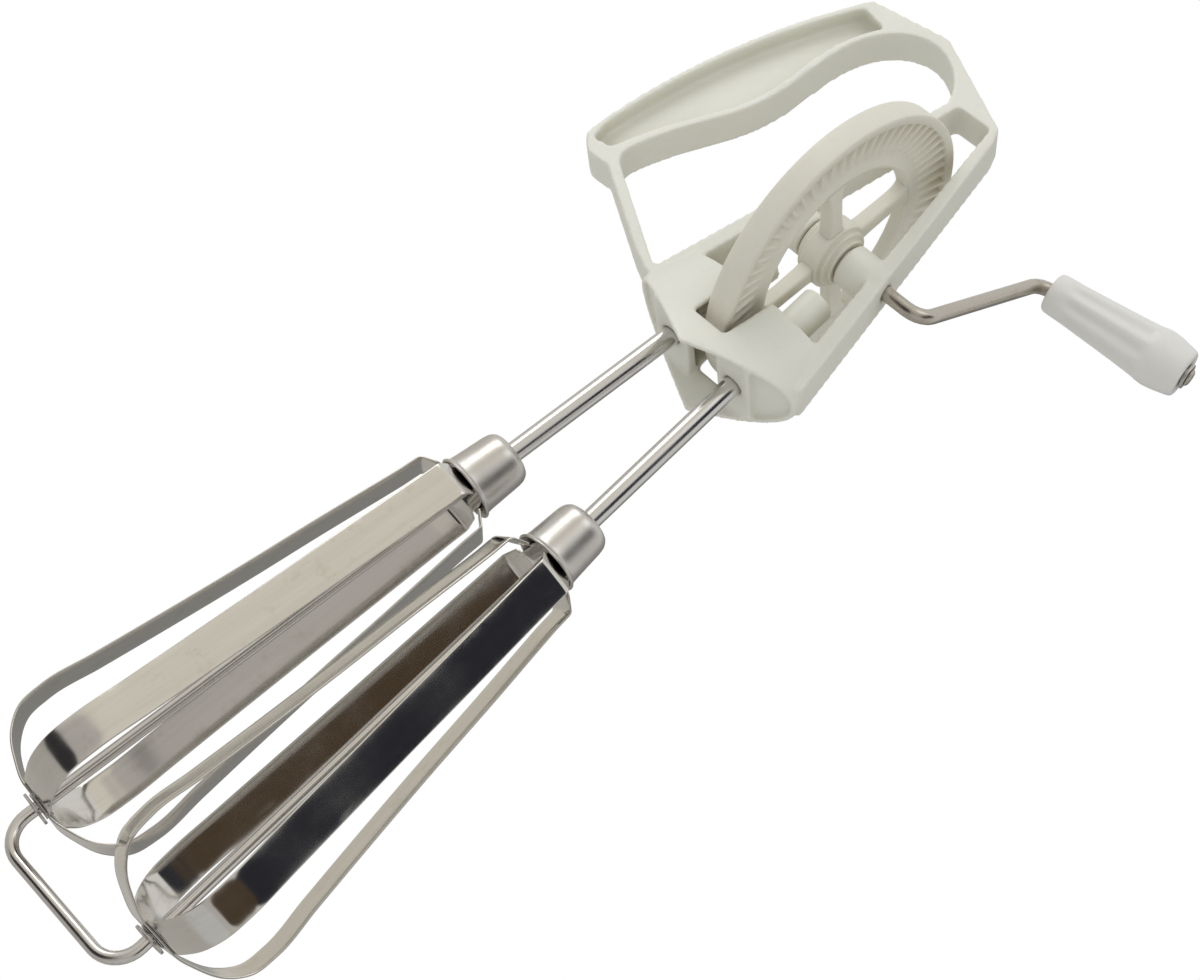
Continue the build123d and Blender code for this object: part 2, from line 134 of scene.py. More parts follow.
def softened_copy(name, node, cell, passes):
    """
    A moulding's skin from its CAD node.  The node's faces are joined and rebuilt on a cubic grid; then
    each pass moves every point half way to the mean of its neighbours, and a little less than that back
    out, so that flat walls stay where they are while sharp edges and inside corners round off.
    """
    source = bpy.data.objects.new(name, frame["nodes"][node].data.copy())
    bpy.context.scene.collection.objects.link(source)
    weld = source.modifiers.new("weld", "WELD")
    weld.merge_threshold = 0.00001
    rebuild = source.modifiers.new("rebuild", "REMESH")
    rebuild.mode = "VOXEL"
    rebuild.voxel_size = cell
    solved = source.evaluated_get(bpy.context.evaluated_depsgraph_get())
    mesh = bpy.data.meshes.new_from_object(solved)
    source.modifiers.clear()
    source.data = mesh
    count = len(mesh.vertices)
    points = np.empty(count * 3)
    mesh.vertices.foreach_get("co", points)
    points = points.reshape(-1, 3)
    ends = np.empty(len(mesh.edges) * 2, int)
    mesh.edges.foreach_get("vertices", ends)
    first, second = ends.reshape(-1, 2).T
    near, far = np.concatenate([first, second]), np.concatenate([second, first])
    neighbours = np.bincount(near, minlength=count)[:, None]
    for share in (0.5, -0.42) * passes:
        total = np.stack([np.bincount(near, points[far, axis], count) for axis in range(3)], 1)
        points = points + share * (total / neighbours - points)
    mesh.vertices.foreach_set("co", points.ravel())
    mesh.update()
    return source


# The second colour is used for random mottling and, through ambient occlusion, for painted shade in corners
# and recesses.
frame_plastic = moulded_plastic("frame_plastic", (0.80, 0.80, 0.735, 1), (0.58, 0.56, 0.44, 1), 0.34)
frame_shell = softened_copy("frame_moulding", "body_frame", 0.55 * MM, 7)
mount_piece(frame_shell, frame_plastic, "frame", "body_frame")

# ---- Foot wire -----------------------------------------------------------------------------------
# One 3.2 mm bright drawn rod bent to a narrow U.  Its two legs are the fixed axles on which the
# beaters turn, and they are pressed into the posts of the frame; its bottom is the foot.


def rounded_path(corners, radius, step):
    """Straight runs between corners, each corner replaced by a tangent arc, one point every step."""
    corners = np.asarray(corners, float)
    pieces = [corners[:1]]
    for before, corner, after in zip(corners, corners[1:], corners[2:]):
        back = (before - corner) / np.linalg.norm(before - corner)
        ahead = (after - corner) / np.linalg.norm(after - corner)
        half = 0.5 * math.acos(float(np.clip(back @ ahead, -1, 1)))
        reach = radius / math.tan(half)
        middle = corner + (back + ahead) / np.linalg.norm(back + ahead) * radius / math.sin(half)
        start = corner + back * reach - middle
        side = corner + ahead * reach - middle
        sweep = math.pi - 2 * half
        across = side - start * math.cos(sweep)
        across *= radius / np.linalg.norm(across)
        turn = np.linspace(0, sweep, max(4, int(radius * sweep / step)))[:, None]
        pieces.append(middle + start * np.cos(turn) + across * np.sin(turn))
    pieces.append(corners[-1:])
    rough = np.concatenate(pieces)
    return evenly(rough, step)


def evenly(points, step):
    """Points added along the longer stretches of a line, so that none is longer than step."""
    made = [points[:1]]
    for start, end in zip(points[:-1], points[1:]):
        parts = max(1, math.ceil(np.linalg.norm(end - start) / step))
        made.append(start + (end - start) * np.linspace(0, 1, parts + 1)[1:, None])
    return np.concatenate(made)


def skin(name, grid, wrap_rows=False):
    """
    A closed skin over a grid of points: rows run along the piece and columns round it.  Columns join
    round; rows join round too if wrap_rows, and otherwise each end closes on its own mean point.
    Its UV map is in metres, along the piece and round it.
    """
    rows, columns = grid.shape[:2]
    points = grid.reshape(-1, 3)
    index = np.arange(rows * columns).reshape(rows, columns)
    after = np.roll(index, -1, 1)
    low, high = (index, np.roll(index, -1, 0)) if wrap_rows else (index[:-1], index[1:])
    low_after, high_after = (after, np.roll(after, -1, 0)) if wrap_rows else (after[:-1], after[1:])
    quads = np.stack([low, low_after, high_after, high], -1).reshape(-1, 4)
    faces = quads.tolist()
    if not wrap_rows:
        points = np.concatenate([points, grid[:1].mean(1), grid[-1:].mean(1)])
        start, end = rows * columns, rows * columns + 1
        faces += np.stack([after[0], index[0], np.full(columns, start)], -1).tolist()
        faces += np.stack([index[-1], after[-1], np.full(columns, end)], -1).tolist()
    mesh = bpy.data.meshes.new(name)
    mesh.from_pydata(points.tolist(), [], faces)
    along = np.concatenate([[0], np.cumsum(np.linalg.norm(np.diff(grid.mean(1), axis=0), axis=1))])
    if wrap_rows:
        ring_gap = np.linalg.norm(np.diff(grid[:, 0], axis=0), axis=1)
        along = np.concatenate([[0], np.cumsum(ring_gap)])
    round_step = np.linalg.norm(grid[rows // 2] - np.roll(grid[rows // 2], 1, 0), axis=1).mean()
    row = np.arange(rows)[:, None] + np.zeros(columns, int)
    column = np.arange(columns) + np.zeros((rows, 1), int)
    place = np.stack([along[row], column * round_step], -1).reshape(-1, 2)
    ends = np.array([[along[0], 0.0], [along[-1], 0.0]])
    place = np.concatenate([place, ends])
    corner = np.empty(len(mesh.loops), int)
    mesh.loops.foreach_get("vertex_index", corner)
    mesh.uv_layers.new(name="length").data.foreach_set("uv", place[corner].ravel())
    piece = bpy.data.objects.new(name, mesh)
    bpy.context.scene.collection.objects.link(piece)
    return outward(piece)


def outward(piece):
    """Turns the faces round if the closed skin encloses a negative volume."""
    mesh = piece.data
    mesh.calc_loop_triangles()
    points = np.empty(len(mesh.vertices) * 3)
    mesh.vertices.foreach_get("co", points)
    points = points.reshape(-1, 3)
    corners = np.empty(len(mesh.loop_triangles) * 3, int)
    mesh.loop_triangles.foreach_get("vertices", corners)
    first, second, third = points[corners.reshape(-1, 3)].transpose(1, 0, 2)
    if np.einsum("ij,ij->", first, np.cross(second, third)) < 0:
        mesh.flip_normals()
    mesh.update()
    return piece


def rod(name, path, radius, columns=28, chamfer=0.4 * MM):
    """Round bar: a circle carried square to the path without twist, its ends turned in by a chamfer."""
    tangent = np.gradient(path, axis=0)
    tangent /= np.linalg.norm(tangent, axis=1)[:, None]
    side = np.cross(tangent[0], (0.0, 1.0, 0.3))
    sides = np.empty_like(path)
    for row, direction in enumerate(tangent):
        side = side - direction * (side @ direction)
        side = side / np.linalg.norm(side)
        sides[row] = side
    across = np.cross(tangent, sides)
    size = np.full(len(path), radius)
    run = np.concatenate([[0], np.cumsum(np.linalg.norm(np.diff(path, axis=0), axis=1))])
    inset = np.clip(1 - np.minimum(run, run[-1] - run) / chamfer, 0, 1)
    size = size - chamfer * inset ** 2
    turn = np.linspace(0, 2 * math.pi, columns, endpoint=False)
    circle = sides[:, None] * np.cos(turn)[:, None] + across[:, None] * np.sin(turn)[:, None]
    return skin(name, path[:, None] + circle * size[:, None, None])


def bright_metal(name, colour, rough, streak, tarnish):
    """
    Bright metal: fine drawing lines along the piece's own length, a slow change of gloss where hands
    have been, a few scratches, and a brown tarnish in spots.
    """
    material, tree = blank_material(name)
    length = add(tree, "UVMap", uv_map="length").outputs[0]
    place = add(tree, "TexCoord").outputs["Object"]
    drawn = add(tree, "Mapping", {"Vector": length, "Scale": (14.0, 900.0, 1.0)}).outputs[0]
    lines = add(tree, "TexNoise", {"Vector": drawn, "Scale": 1.0, "Detail": 5.0,
                                   "Roughness": 0.65}).outputs["Fac"]
    handled = add(tree, "TexNoise", {"Vector": place, "Scale": 70.0, "Detail": 5.0}).outputs["Fac"]
    nicks = add(tree, "Mapping", {"Vector": length, "Scale": (90.0, 700.0, 1.0),
                                  "Rotation": (0, 0, 0.3)}).outputs[0]
    scratch = add(tree, "TexNoise", {"Vector": nicks, "Scale": 1.0, "Detail": 1.0}).outputs["Fac"]
    spots = add(tree, "TexNoise", {"Vector": place, "Scale": 160.0, "Detail": 6.0,
                                   "Roughness": 0.7}).outputs["Fac"]
    dull = [channel * 0.86 for channel in colour[:3]] + [1.0]
    shade = mix(tree, spread(tree, lines, 0.3, 0.7, 0.0, 0.6), colour, dull)
    shade = mix(tree, spread(tree, spots, 0.56, 0.74, 0.0, tarnish), shade, (0.36, 0.24, 0.14, 1))
    base = spread(tree, handled, 0.35, 0.7, rough, rough + 0.12)
    scored = spread(tree, scratch, 0.68, 0.78, 0.0, 0.06)
    gloss = add(tree, "Math", {0: base, 1: scored}, operation="ADD").outputs[0]
    ridges = add(tree, "Math", {0: lines, 1: scored}, operation="SUBTRACT").outputs[0]
    bump = add(tree, "Bump", {"Strength": 0.035 * streak, "Distance": 0.00005,
                              "Height": ridges}).outputs[0]
    surface = add(tree, "BsdfPrincipled", {"Base Color": shade, "Metallic": 1.0, "Roughness": gloss,
                                           "Normal": bump})
    tree.links.new(surface.outputs[0], add(tree, "OutputMaterial").inputs[0])
    return material


joints = {joint["name"]: joint for joint in frame["joints"]}
sides = (("left", math.radians(10)), ("right", math.radians(43)))


def axis_place(joint_name, turn=0.0):
    """Place with its origin at a joint's point and its Z along the joint's axis, turned about it."""
    joint = joints[joint_name]
    lean = Vector((0, 0, 1)).rotation_difference(Vector(joint["axis"]))
    return Matrix.Translation(joint["pos_m"]) @ lean.to_matrix().to_4x4() @ Matrix.Rotation(turn, 4, "Z")


def moved(grid, place):
    """Points of a grid, in a piece's own measure, carried to their place."""
    turn = np.array(place.to_3x3())
    return grid @ turn.T + np.array(place.translation)


wire_low, wire_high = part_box("wire_frame")
wire_radius = 1.6 * MM
bend_radius = 7.5 * MM
crossing_along = 13.3 * MM
left_turn = joints["left_beater_turn"]
left_axis = axis_place("left_beater_turn")
axis_rise = left_turn["axis"][2]
foot_height = wire_low.z + wire_radius
leg_top = moved(np.array([[0, 0, wire_high.z / axis_rise - crossing_along]]), left_axis)[0]
left_foot = moved(np.array([[0, 0, (foot_height - left_turn["pos_m"][2]) / axis_rise]]), left_axis)[0]
mirror_x = np.array([-1, 1, 1])
wire_path = rounded_path([leg_top, left_foot, left_foot * mirror_x, leg_top * mirror_x],
                         bend_radius, 1.2 * MM)
rod_steel = bright_metal("rod_steel", (0.80, 0.78, 0.76, 1), 0.13, 1.0, 0.25)
foot_wire = rod("foot_wire", wire_path, wire_radius)
mount_piece(foot_wire, rod_steel, "frame", "wire_frame")

# ---- Drive wheel ---------------------------------------------------------------------------------
# A moulded crown gear in a slightly warmer plastic: a broad rim, sixty-four radial teeth on each
# face, an inner ring, four spokes and a thick hub.  It is pinned to the crank's spindle.

spindle = Vector(joints["crank_turn"]["pos_m"])
teeth = 64
tooth_zone = (30.6 * MM, 39.6 * MM)
root_height = 1.35 * MM
crest_height = 3.05 * MM


def round_corners(outline, radius, steps=4, closed=True):
    """An outline in two dimensions with each corner replaced by a short arc of the given radius."""
    outline = np.asarray(outline, float)
    count = len(outline)
    made = []
    for number in range(count):
        corner = outline[number]
        if not closed and number in (0, count - 1):
            made.append(corner[None])
            continue
        back, ahead = outline[number - 1] - corner, outline[(number + 1) % count] - corner
        reach = min(radius, 0.48 * np.linalg.norm(back), 0.48 * np.linalg.norm(ahead))
        start = corner + back / np.linalg.norm(back) * reach
        end = corner + ahead / np.linalg.norm(ahead) * reach
        part = np.linspace(0, 1, steps)[:, None]
        made.append(start * (1 - part) ** 2 + 2 * corner * part * (1 - part) + end * part ** 2)
    return np.concatenate(made)


def revolved(profile, columns):
    """A profile of (radius, height) points carried round Z, as a grid of profile by turn."""
    turn = np.linspace(0, 2 * math.pi, columns, endpoint=False)
    radius, height = profile[:, 0, None], profile[:, 1, None]
    return np.stack([radius * np.cos(turn), radius * np.sin(turn), height + 0 * turn], -1)


def joined(name, pieces):
    """Several closed skins as one object."""
    with bpy.context.temp_override(active_object=pieces[0], selected_editable_objects=pieces):
        bpy.ops.object.join()
    pieces[0].name = name
    pieces[0].data.name = name
    return pieces[0]


def tooth_wave(turn, half_root, half_crest):
    """1 on a tooth's crest and 0 in the gap, with straight flanks; teeth stand at half pitches."""
    offset = np.abs((turn / (2 * math.pi) * teeth) % 1.0 - 0.5)
    return np.clip((half_root - offset) / (half_root - half_crest), 0, 1)


def toothed_ring():
    """
    The wheel outside its spokes: one closed profile carried round.  Where the profile crosses the tooth
    zone its height is the root height plus the tooth wave times the tooth's own height, which grows
    evenly from the zone's inner end to the rim.
    """
    rim_outer, rim_face = 42.3 * MM, 3.45 * MM
    half = [(26.4, 2.0), (27.3, 1.95), (28.2, 1.6), (29.2, 1.4), (30.6, 1.35)]
    zone = [(radius, 1.35) for radius in np.linspace(31.0, 39.3, 9)]
    rim = [(39.55, 1.5), (39.65, 3.2), (39.9, 3.45), (41.2, 3.45)]
    face = np.array(half + zone + rim) * MM
    edge = np.array([(rim_outer - 0.5 * MM, rim_face), (rim_outer - 0.12 * MM, rim_face - 0.12 * MM),
                     (rim_outer, rim_face - 0.5 * MM), (rim_outer, 0.9 * MM)])
    bore_edge = np.array([(26.0 * MM, 0.6 * MM), (26.0 * MM, 1.6 * MM)])
    upper = np.concatenate([bore_edge, face, edge])
    profile = np.concatenate([upper, upper[::-1] * (1, -1)])
    grid = revolved(profile, teeth * 12)
    turn = np.linspace(0, 2 * math.pi, teeth * 12, endpoint=False)[None] + np.zeros((len(profile), 1))
    radius = profile[:, 0, None]
    ramp = np.clip(0.12 + 0.88 * (radius - tooth_zone[0]) / (tooth_zone[1] - tooth_zone[0]), 0, 1)
    ramp = ramp * np.clip((radius - tooth_zone[0]) / (0.4 * MM), 0, 1)
    inside = (radius < tooth_zone[1]) & (np.abs(profile[:, 1, None]) < root_height + 0.3 * MM)
    height = (crest_height - root_height) * tooth_wave(turn, 0.30, 0.13) * ramp * inside
    grid[..., 2] += np.sign(grid[..., 2]) * height
    return skin("toothed_ring", grid, wrap_rows=True)


def spoke(turn):
    """A rounded bar from the hub to the inner ring that flares at both ends into a small fillet."""
    reach = np.linspace(5.0 * MM, 26.6 * MM, 40)[:, None]
    at_hub = 0.35 * np.exp(-np.abs(reach - 8.6 * MM) / (1.2 * MM))
    at_rim = 1.1 * np.clip(np.exp(-(26.0 * MM - reach) / (1.3 * MM)), 0, 1)
    flare = 1 + at_hub + at_rim
    outline = round_corners([(2.2, 2.3), (-2.2, 2.3), (-2.2, -2.3), (2.2, -2.3)], 1.0, 5) * MM
    width = outline[None, :, 0] * flare
    depth = outline[None, :, 1] * (1 - 0.14 * (reach - 7.0 * MM) / (19.0 * MM))
    far = reach + 0 * width
    grid = np.stack([far * math.cos(turn) - width * math.sin(turn),
                     far * math.sin(turn) + width * math.cos(turn), depth], -1)
    return skin("spoke", grid)


def hub():
    """The hub: a thick sleeve that steps up twice on each face, from the spokes to the spindle."""
    face = [(2.02, 5.6), (6.5, 5.6), (6.5, 4.3), (8.0, 4.3), (8.0, 2.9), (9.3, 2.9)]
    outline = np.concatenate([face, np.array(face[::-1]) * (1, -1)])
    return skin("hub", revolved(round_corners(outline, 0.5) * MM, 96), wrap_rows=True)


# The second colour is used for random mottling and, through ambient occlusion, for painted shade in corners
# and recesses.
wheel_plastic = moulded_plastic("wheel_plastic", (0.75, 0.735, 0.65, 1), (0.54, 0.48, 0.36, 1), 0.40)
wheel_parts = [toothed_ring(), hub()] + [spoke(quarter * math.pi / 2) for quarter in range(4)]
wheel = joined("drive_wheel_moulding", wheel_parts)
wheel.data.transform(Matrix.Translation(spindle) @ Matrix.Rotation(math.pi / 2, 4, "Y"))
mount_piece(wheel, wheel_plastic, "wheel_and_crank", "drive_wheel")

# ---- Crank ---------------------------------------------------------------------------------------
# One 4 mm rod, duller than the wire, bent twice: the spindle through the frame and the wheel, the arm,
# and the pin on which the hand grip turns.  The pin's end is headed over a small washer.

pin = axis_place("crank_grip_turn")
pin_direction = np.array(joints["crank_grip_turn"]["axis"])
pin_start = np.array(joints["crank_grip_turn"]["pos_m"])
rod_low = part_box("crank_rod")[0]
rod_radius = 2.0 * MM
crank_bend = 5.0 * MM
arm_corner = np.array([31.0 * MM, 0, spindle.z])
grip_gap = 3.7 * MM
grip_length = 41.3 * MM
pin_end = pin_start + pin_direction * (grip_gap + grip_length + 1.2 * MM)
crank_path = rounded_path([(rod_low.x, 0, spindle.z), arm_corner, pin_start, pin_end], crank_bend, 1.2 * MM)
crank_bar = rod("crank_bar", crank_path, rod_radius)
crank_steel = bright_metal("crank_steel", (0.60, 0.565, 0.51, 1), 0.24, 1.3, 0.45)


def turned(name, outline, radius, columns=64, corner_steps=4):
    """A ring turned about Z from a closed outline in millimetres, with its corners rounded."""
    return skin(name, revolved(round_corners(outline, radius, corner_steps) * MM, columns), wrap_rows=True)


head_low = (grip_gap + grip_length) / MM + 1.1
rivet = [(0.05, head_low), (2.4, head_low), (2.4, head_low + 0.4), (1.8, head_low + 0.85),
         (0.8, head_low + 0.9), (0.05, head_low + 0.55)]
rivet_head = turned("rivet_head", rivet, 0.35)
rivet_head.data.transform(pin)
crank = joined("crank_bar", [crank_bar, rivet_head])
mount_piece(crank, crank_steel, "wheel_and_crank", "crank_rod")

small_metal = bright_metal("small_metal", (0.66, 0.65, 0.63, 1), 0.26, 1.5, 0.35)
washer_low = (grip_gap + grip_length) / MM + 0.2
washer_outline = [(2.0, washer_low), (3.6, washer_low), (3.6, washer_low + 0.8), (2.0, washer_low + 0.8)]
pin_washer = turned("crank_grip_washer_disc", washer_outline, 0.2)
pin_washer.data.transform(pin)
mount_piece(pin_washer, small_metal, "wheel_and_crank", "crank_grip_washer")

cap_low, cap_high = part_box("spindle_push_nut")
across_spindle = Matrix.Translation((0, 0, spindle.z)) @ Matrix.Rotation(math.pi / 2, 4, "Y")
start, end = cap_low.x / MM, cap_high.x / MM
push_nut = turned("push_nut", [(2.0, start + 0.3), (2.6, start), (3.1, start + 0.5), (3.6, end - 0.35),
                               (3.6, end), (2.0, end)], 0.2)
push_nut.data.transform(across_spindle)
mount_piece(push_nut, small_metal, "wheel_and_crank", "spindle_push_nut")

for name in ("left_hub_washer", "right_hub_washer"):
    low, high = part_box(name)
    disc = turned(name + "_disc", [(2.0, low.x / MM), (5.0, low.x / MM), (5.0, high.x / MM),
                                   (2.0, high.x / MM)], 0.12)
    disc.data.transform(across_spindle)
    mount_piece(disc, small_metal, "wheel_and_crank", name)
frame["nodes"]["hub_cross_pin"].data.materials.clear()
frame["nodes"]["hub_cross_pin"].data.materials.append(small_metal)

# ---- Crank grip ----------------------------------------------------------------------------------
# A hollow moulded grip in a cooler white, slim at the arm and widest near its outer end, which tapers
# again.  Eight shallow flutes run along it and stop short of both ends.

flutes = 8
grip_profile = [(2.2, 0.25), (4.7, 0.0), (5.3, 0.3), (5.65, 1.1), (6.0, 6.0), (6.4, 12.0), (7.25, 24.0),
                (7.9, 31.0), (8.08, 33.2), (7.75, 36.0), (6.95, 40.0), (6.6, 40.9), (6.0, 41.3),
                (2.2, 41.1)]


def fluted_grip():
    """
    A profile turned about the pin, its radius drawn in along eight flutes.  The draw is a raised cosine
    of the turn, times a smooth rise and fall along the length, and 0.95 mm at its deepest.
    """
    outer = evenly(round_corners(np.array(grip_profile) * MM, 0.5 * MM, 5, closed=False), 0.7 * MM)
    bore = evenly(np.array([(2.2, 41.1), (2.15, 21.0), (2.2, 0.25)]) * MM, 5 * MM)[1:-1]
    profile = np.concatenate([outer, bore])
    grid = revolved(profile, flutes * 16)
    turn = np.linspace(0, 2 * math.pi, flutes * 16, endpoint=False)
    along = profile[:, 1, None] / MM
    rise = np.clip((along - 3.0) / 6.0, 0, 1) * np.clip((31.5 - along) / 3.0, 0, 1)
    rise = rise * rise * (3 - 2 * rise) * (profile[:, 0, None] > 4.5 * MM)
    wave = 0.5 + 0.5 * np.cos(flutes * turn)
    shrink = 1 - 0.95 * MM * rise * wave / np.maximum(profile[:, 0, None], 1 * MM)
    grid[..., :2] *= shrink[..., None]
    return skin("crank_hand_grip", grid, wrap_rows=True)


# The second colour is used for random mottling and, through ambient occlusion, for painted shade in corners
# and recesses.
crank_grip_plastic = moulded_plastic("crank_grip_plastic", (0.77, 0.765, 0.745, 1), (0.60, 0.57, 0.50, 1),
                                     0.28)
hand_grip = fluted_grip()
hand_grip.data.transform(pin @ Matrix.Translation((0, 0, grip_gap)))
mount_piece(hand_grip, crank_grip_plastic, "grip_of_crank", "crank_grip")

# ---- Pinions and shafts --------------------------------------------------------------------------
# Each beater hangs on a plated steel tube that turns on the wire.  A fourteen-tooth nylon pinion is
# pressed on its top inside the hood and runs on a thin nylon washer.

# The second colour is used for random mottling and, through ambient occlusion, for painted shade in corners
# and recesses.
gear_nylon = moulded_plastic("gear_nylon", (0.74, 0.71, 0.62, 1), (0.50, 0.43, 0.33, 1), 0.46)
plated_steel = bright_metal("plated_steel", (0.77, 0.765, 0.76, 1), 0.16, 1.6, 0.18)
tube_foot = 127.0
for side_name, _ in sides:
    for kind in ("_pinion", "_thrust_washer"):
        frame["nodes"][side_name + kind].data.materials.clear()
        frame["nodes"][side_name + kind].data.materials.append(gear_nylon)
    place = axis_place(side_name + "_beater_turn")
    tube_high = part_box(side_name + "_shaft_tube")[1].z
    tube_top = (tube_high - crossing_along) / MM / axis_rise
    tube_outline = [(1.68, tube_foot), (2.6, tube_foot), (2.6, tube_top), (1.68, tube_top)]
    tube_profile = evenly(round_corners(tube_outline, 0.15) * MM, 4 * MM)
    tube = skin(side_name + "_tube", revolved(tube_profile, 40), wrap_rows=True)
    tube.data.transform(place)
    mount_piece(tube, plated_steel, side_name + "_beater", side_name + "_shaft_tube")

# ---- Beaters -------------------------------------------------------------------------------------
# Each beater is two loops of bright rolled strip, 10.2 by 0.55 mm, crossed and riveted on an eyelet at
# the bottom and gathered at the top on a square ferrule inside a pressed collar with a rolled lip.

strip_width = 10.2 * MM
tab_width = 7.4 * MM
tab_shoulder = 122.5 * MM
strip_thickness = 0.55 * MM
neck_points = [(4.62, 135.2), (4.62, 129.0), (6.7, 123.0), (11.9, 119.8), (12.2, 114.0)]
belly_points = [(12.2, 114.0), (14.5, 90.0), (16.2, 70.0), (18.2, 50.0), (20.4, 30.0), (21.9, 16.5),
                (20.9, 9.6), (17.0, 4.8), (10.5, 1.5), (4.6, 0.0)]


def smooth_curve(points, first_tangent, last_tangent, steps):
    """
    A cubic curve through points, piece by piece.  Each inner point's tangent weighs the two chords
    beside it by the inverse of their lengths, so a short chord bends the curve more than a long one.
    """
    points = np.asarray(points, float)
    chord = np.diff(points, axis=0)
    length = np.linalg.norm(chord, axis=1)[:, None]
    unit = chord / length
    inner = (unit[:-1] * length[1:] + unit[1:] * length[:-1]) / (length[1:] + length[:-1])
    ends = [np.array(t, float) / np.linalg.norm(t) for t in (first_tangent, last_tangent)]
    tangent = np.concatenate([ends[0][None], inner, ends[1][None]])
    part = np.linspace(0, 1, steps, endpoint=False)[:, None]
    made = []
    for number, gap in enumerate(length[:, 0]):
        start, end = points[number], points[number + 1]
        leave, arrive = tangent[number] * gap, tangent[number + 1] * gap
        made.append(start * (2 * part ** 3 - 3 * part ** 2 + 1) + leave * (part ** 3 - 2 * part ** 2 + part)
                    + end * (3 * part ** 2 - 2 * part ** 3) + arrive * (part ** 3 - part ** 2))
    return np.concatenate(made + [points[-1:]])


def strip_line():
    """The middle line of one loop in its own plane, from one tab down round the bottom to the other."""
    neck = rounded_path(np.array(neck_points), 1.4, 0.5)
    belly = smooth_curve(belly_points, (0.09, -1), (-1, 0), 14)
    half = np.concatenate([neck[:-1], belly])
    base = np.linspace((4.6, 0.0), (-4.6, 0.0), 9)[1:-1]
    return np.concatenate([half, base, half[::-1] * (-1, 1)]) * MM


def strip_loop(name, lift, turn):
    """
    A strip carried along its middle line: the section is a thin rectangle with half-round long edges,
    its width along the loop's own Y and its thickness along the line's normal.  Above the shoulder the
    strip is cut narrower, so that its tabs fit side by side in the collar.
    """
    line = strip_line()
    tangent = np.gradient(line, axis=0)
    tangent /= np.linalg.norm(tangent, axis=1)[:, None]
    normal = np.stack([tangent[:, 1], -tangent[:, 0]], -1)
    flat = np.linspace(-0.5, 0.5, 5) * (strip_width - strip_thickness)
    shoulder = np.clip((line[:, 1, None] - tab_shoulder) / (0.5 * MM) + 0.5, 0, 1)
    narrow = 1 + shoulder * (tab_width / strip_width - 1)
    bend = np.linspace(math.pi / 2, -math.pi / 2, 7)[1:-1]
    edge = strip_thickness / 2
    wide = np.concatenate([flat, flat[-1] + edge * np.cos(bend), flat[::-1], flat[0] - edge * np.cos(bend)])
    thick = np.concatenate([np.full(5, edge), edge * np.sin(bend), np.full(5, -edge), -edge * np.sin(bend)])
    grid = np.empty((len(line), len(wide), 3))
    grid[..., 0] = line[:, 0, None] + normal[:, 0, None] * thick
    grid[..., 1] = wide * narrow
    grid[..., 2] = line[:, 1, None] + normal[:, 1, None] * thick + lift
    piece = skin(name, grid)
    piece.data.transform(Matrix.Rotation(turn, 4, "Z"))
    return piece


strip_steel = bright_metal("strip_steel", (0.78, 0.765, 0.73, 1), 0.10, 1.0, 0.22)
satin_steel = bright_metal("satin_steel", (0.68, 0.665, 0.64, 1), 0.31, 1.6, 0.30)
collar_outline = [(8.6, 123.8), (8.88, 124.1), (8.7, 124.6), (8.1, 125.1), (7.9, 127.0), (7.4, 135.4),
                  (7.1, 137.0), (6.3, 138.2), (5.2, 138.6), (2.62, 138.6), (2.62, 138.0), (5.0, 138.0),
                  (5.9, 137.6), (6.5, 136.7), (6.8, 135.4), (7.3, 127.0), (7.6, 125.1), (8.1, 124.0)]
eyelet_outline = [(1.68, -0.655), (3.5, -0.655), (3.5, -0.305), (2.3, -0.305), (2.3, 0.925), (3.5, 0.925),
                  (3.5, 1.275), (1.68, 1.275)]
stop_outline = [(1.6, -1.705), (4.3, -1.705), (4.3, -0.955), (1.6, -0.955)]
for side_name, phase in sides:
    beater = side_name + "_beater"
    place = axis_place(beater + "_turn", phase)
    outer_strip = strip_loop(side_name + "_outer_loop", 0.0, 0.0)
    inner_strip = strip_loop(side_name + "_inner_loop", strip_thickness + 0.05 * MM, math.pi / 2)
    collar = skin(side_name + "_pressed_collar",
                  revolved(evenly(round_corners(collar_outline, 0.5, 3) * MM, 1.5 * MM), 72), wrap_rows=True)
    eyelet = turned(side_name + "_flanged_eyelet", eyelet_outline, 0.2, 40)
    stop = turned(side_name + "_stop_ring", stop_outline, 0.2, 48)
    for piece in (outer_strip, inner_strip, collar, eyelet, stop):
        piece.data.transform(place)
    mount_piece(outer_strip, strip_steel, beater, side_name + "_strip_outer")
    mount_piece(inner_strip, strip_steel, beater, side_name + "_strip_inner")
    mount_piece(collar, satin_steel, beater, side_name + "_collar")
    mount_piece(eyelet, small_metal, beater, side_name + "_eyelet")
    mount_piece(stop, small_metal, "frame", side_name + "_stop_washer")
    frame["nodes"][side_name + "_ferrule"].data.materials.clear()
    frame["nodes"][side_name + "_ferrule"].data.materials.append(small_metal)

# ---- Floor, light and camera ---------------------------------------------------------------------
# A pale floor well below the tool, in an even studio.  Only reflections see the room's light and dark
# patches, so bright steel shows them as bands while the plastic stays evenly lit.

floor_size = 8.0
floor_drop = 0.42
floor_mesh = bpy.data.meshes.new("floor")
corners = [(-floor_size, -floor_size), (floor_size, -floor_size), (floor_size, floor_size),
           (-floor_size, floor_size)]
floor_mesh.from_pydata([(x, y, -floor_drop) for x, y in corners], [], [(0, 1, 2, 3)])
floor = bpy.data.objects.new("floor", floor_mesh)
bpy.context.scene.collection.objects.link(floor)
floor_material, floor_tree = blank_material("pale_floor")
floor_grain = add(floor_tree, "TexNoise", {"Vector": add(floor_tree, "TexCoord").outputs["Object"],
                                           "Scale": 3.0}).outputs["Fac"]
floor_shade = mix(floor_tree, floor_grain, (0.86, 0.86, 0.855, 1), (0.89, 0.89, 0.885, 1))
floor_skin = add(floor_tree, "BsdfPrincipled", {"Base Color": floor_shade, "Roughness": 0.8})
floor_tree.links.new(floor_skin.outputs[0], add(floor_tree, "OutputMaterial").inputs[0])
floor_mesh.materials.append(floor_material)
floor.visible_glossy = False


